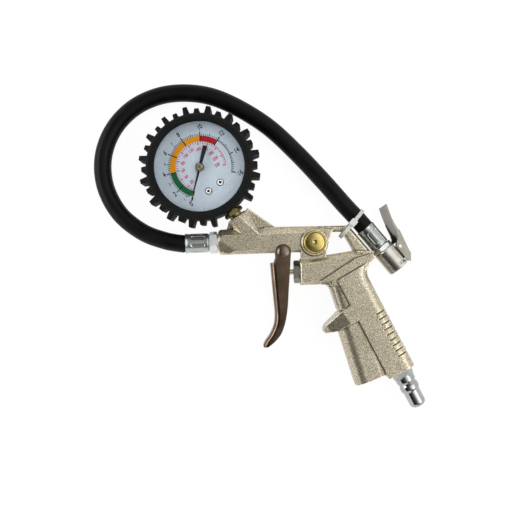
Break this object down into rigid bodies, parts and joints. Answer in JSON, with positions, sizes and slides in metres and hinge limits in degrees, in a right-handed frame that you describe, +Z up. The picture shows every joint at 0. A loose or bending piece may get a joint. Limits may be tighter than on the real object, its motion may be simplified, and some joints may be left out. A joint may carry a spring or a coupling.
{
  "type": "tyre inflator with gauge",
  "caption": "Pistol-grip tyre inflator: cast body, trigger valve, bleed button, 16 bar dial gauge in a toothed boot, and a hose with a clip-on chuck.",
  "frame": {"origin": "centre of the back face of the gauge's boot, which lies on the bench", "axes": "+Z up out of the dial, +X along the barrel from the hose nut to the grip, +Y from the grip to the gauge"},
  "size_m": [0.2357, 0.2418, 0.031],
  "materials": {
    "casting_paint": "champagne paint, fine sparkle, satin",
    "zinc_plate": "zinc plated, satin",
    "ferrule_steel": "bright, crimped",
    "chrome": "bright",
    "chuck_metal": "satin nickel",
    "lever_metal": "plated sheet",
    "trigger_metal": "satin, brownish",
    "brass": "turned",
    "tube_bronze": "drawn",
    "spring_steel": "bright",
    "black_rubber": "plain",
    "boot_rubber": "moulded, satin",
    "hose_rubber": "smooth, satin",
    "case_paint": "black",
    "pointer_black": "black",
    "dial_face": "printed",
    "lens": "clear",
    "washer_grey": "bonded seal",
    "nylon": "natural nylon"
  },
  "bodies": {
    "frame": {"body_casting": "casting_paint", "packing_nut": "zinc_plate", "packing_ring": "black_rubber", "seat_sleeve": "brass", "valve_spring": "spring_steel", "bleed_spring": "spring_steel", "bleed_plug": "brass", "inlet_plug": "chrome", "inlet_washer": "washer_grey", "gauge_stem": "brass", "gauge_case": "case_paint", "gauge_boot": "boot_rubber", "gauge_lens": "lens", "gauge_dial": "dial_face", "dial_screws": "spring_steel", "bourdon_tube": "tube_bronze", "movement_plates": "brass", "hairspring": "spring_steel", "hose_nipple": "zinc_plate", "front_ferrule": "ferrule_steel", "air_hose": "hose_rubber", "chuck_ferrule": "ferrule_steel", "chuck_nipple": "zinc_plate", "chuck_body": "chuck_metal", "chuck_washer": "black_rubber", "core_pin": "brass", "lever_pin": "zinc_plate", "lever_spring": "spring_steel", "cable_tie": "nylon"},
    "trigger": {"trigger": "trigger_metal", "trigger_rivet": "trigger_metal"},
    "valve": {"valve_rod": "brass", "valve_seal": "black_rubber"},
    "bleed": {"bleed_button": "brass", "bleed_stem": "brass", "bleed_seal": "black_rubber"},
    "sector": {"sector_gear": "brass"},
    "link": {"gauge_link": "spring_steel"},
    "pointer": {"gauge_pointer": "pointer_black", "pointer_arbor": "brass"},
    "lever": {"chuck_lever": "lever_metal"}
  },
  "joints": [
    {"name": "trigger_hinge", "type": "hinge", "parent": "frame", "child": "trigger", "pos_m": [0.0574, -0.0625, 0.0135], "axis": [0, 0, 1], "range_deg": [0, 12], "stiffness_Nm_per_rad": 0.6, "springref_deg": -5.73},
    {"name": "valve_slide", "type": "slide", "parent": "frame", "child": "valve", "axis": [1, 0, 0], "range_m": [0, 0.0031], "deforming": ["valve_spring"]},
    {"name": "bleed_press", "type": "slide", "parent": "frame", "child": "bleed", "axis": [0, 0, -1], "range_m": [0, 0.0025], "stiffness_N_per_m": 600, "springref_m": -0.002, "deforming": ["bleed_spring"]},
    {"name": "sector_swing", "type": "hinge", "parent": "frame", "child": "sector", "pos_m": [-0.0115, -0.00799, 0.0135], "axis": [0, 0, 1], "range_deg": [0, 37.86], "deforming": ["bourdon_tube"]},
    {"name": "link_swing", "type": "hinge", "parent": "sector", "child": "link", "pos_m": [-0.01139, -0.00299, 0.0135], "axis": [0, 0, 1], "range_deg": [-37.86, 0]},
    {"name": "pointer_turn", "type": "hinge", "parent": "frame", "child": "pointer", "pos_m": [0, 0, 0.0135], "axis": [0, 0, 1], "range_deg": [-265, 0]},
    {"name": "chuck_lever_hinge", "type": "hinge", "parent": "frame", "child": "lever", "pos_m": [0.14057, -0.06252, 0.01078], "axis": [0.2425, 0.1915, 0.9511], "range_deg": [0, 6], "stiffness_Nm_per_rad": 0.15, "springref_deg": -8.59, "deforming": ["lever_spring"]}
  ],
  "couplings": [
    {"joint": "valve_slide", "follows": "trigger_hinge", "m_per_rad": 0.0148},
    {"joint": "pointer_turn", "follows": "sector_swing", "ratio": -7},
    {"joint": "link_swing", "follows": "sector_swing", "ratio": -1}
  ]
}
